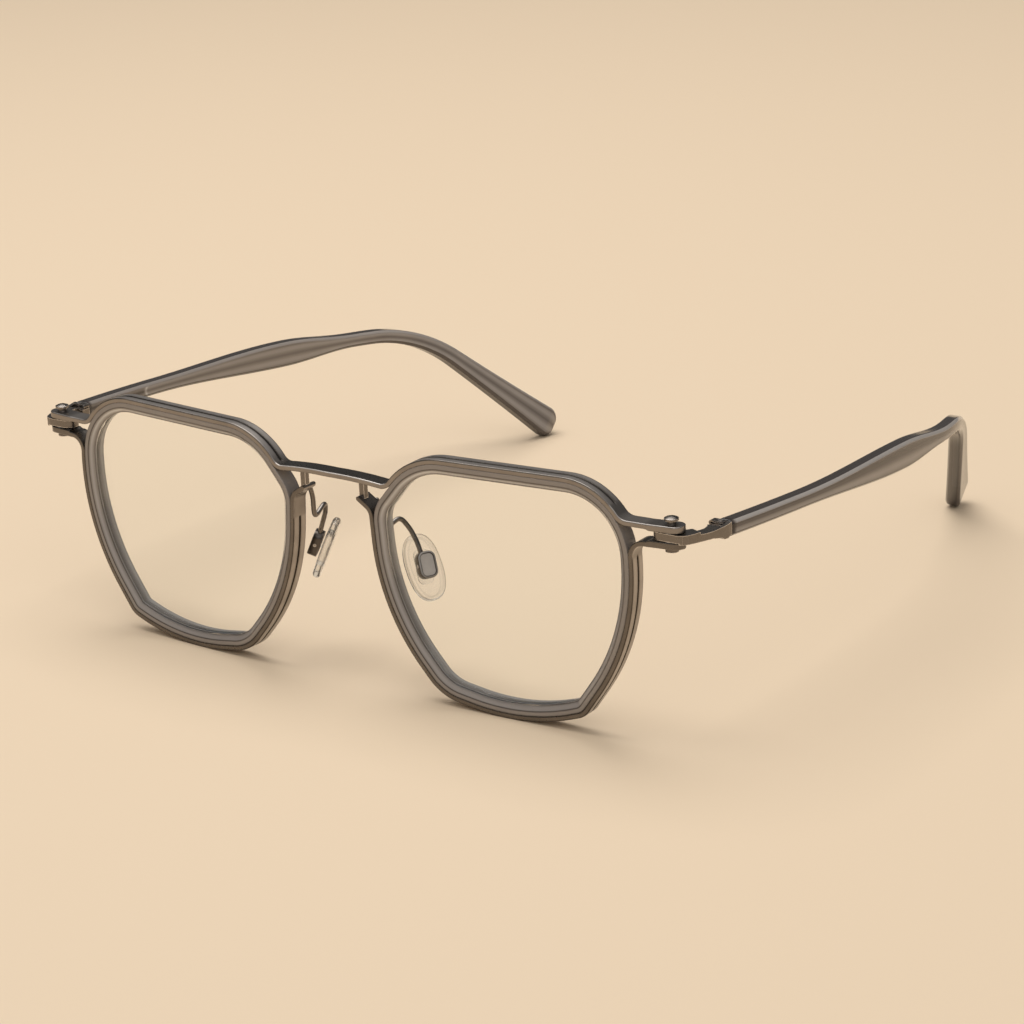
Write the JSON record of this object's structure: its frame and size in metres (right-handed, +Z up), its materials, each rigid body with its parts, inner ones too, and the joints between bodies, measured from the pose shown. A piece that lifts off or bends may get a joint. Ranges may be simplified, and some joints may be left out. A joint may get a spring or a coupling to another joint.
{
  "type": "reading glasses",
  "caption": "Full-rim reading glasses with polygonal acetate rims held in flat metal strips, rocking clear nose pads and folding acetate temples with metal cores",
  "frame": {"origin": "centre of the footprint, on the surface the glasses stand on", "axes": "+X towards the glasses' own right-hand side of the picture, across the face; +Y back from the lenses along the open temples; +Z up from the surface the glasses stand on"},
  "size_m": [0.151, 0.1398, 0.0459],
  "materials": {
    "acetate": "translucent warm grey acetate, polished",
    "metal": "satin antique gunmetal plating",
    "dark_metal": "darker gunmetal plating, satin",
    "steel": "plain nickel-silver wire and sheet",
    "lens": "clear, both faces polished",
    "pad": "clear soft silicone",
    "pad_core": "clear hard plastic, moulded"
  },
  "bodies": {
    "front": {"brow_bar": "metal", "left_rim": "acetate", "right_rim": "acetate", "left_lens": "lens", "right_lens": "lens", "left_lower_band": "metal", "right_lower_band": "metal", "left_bridge_post": "metal", "right_bridge_post": "metal", "left_pad_arm": "metal", "right_pad_arm": "metal", "left_pad_box": "dark_metal", "right_pad_box": "dark_metal", "left_pad_pin": "steel", "right_pad_pin": "steel", "left_hinge_washers": "steel", "right_hinge_washers": "steel", "left_hinge_screw": "dark_metal", "right_hinge_screw": "dark_metal", "left_hinge_nut": "dark_metal", "right_hinge_nut": "dark_metal"},
    "left_pad": {"left_nose_pad": "pad", "left_pad_plate": "pad_core"},
    "left_arm": {"left_temple_arm": "metal", "left_temple_clip": "metal", "left_clip_rivet": "steel", "left_temple_core": "steel", "left_temple": "acetate"},
    "right_pad": {"right_nose_pad": "pad", "right_pad_plate": "pad_core"},
    "right_arm": {"right_temple_arm": "metal", "right_temple_clip": "metal", "right_clip_rivet": "steel", "right_temple_core": "steel", "right_temple": "acetate"}
  },
  "joints": [
    {"name": "left_temple_hinge", "type": "hinge", "parent": "front", "child": "left_arm", "pos_m": [-0.0685, -0.06455, 0.03804], "axis": [0, -0.0103, -0.9999], "range_deg": [0, 72]},
    {"name": "right_temple_hinge", "type": "hinge", "parent": "front", "child": "right_arm", "pos_m": [0.0685, -0.06455, 0.03804], "axis": [0, 0.0103, 0.9999], "range_deg": [0, 82]},
    {"name": "left_pad_rock", "type": "hinge", "parent": "front", "child": "left_pad", "pos_m": [-0.0126, -0.05932, 0.02138], "axis": [-0.4772, 0.8788, -0.0091], "range_deg": [-6, 6]},
    {"name": "right_pad_rock", "type": "hinge", "parent": "front", "child": "right_pad", "pos_m": [0.0126, -0.05932, 0.02138], "axis": [0.4772, 0.8788, -0.0091], "range_deg": [-6, 6]}
  ]
}
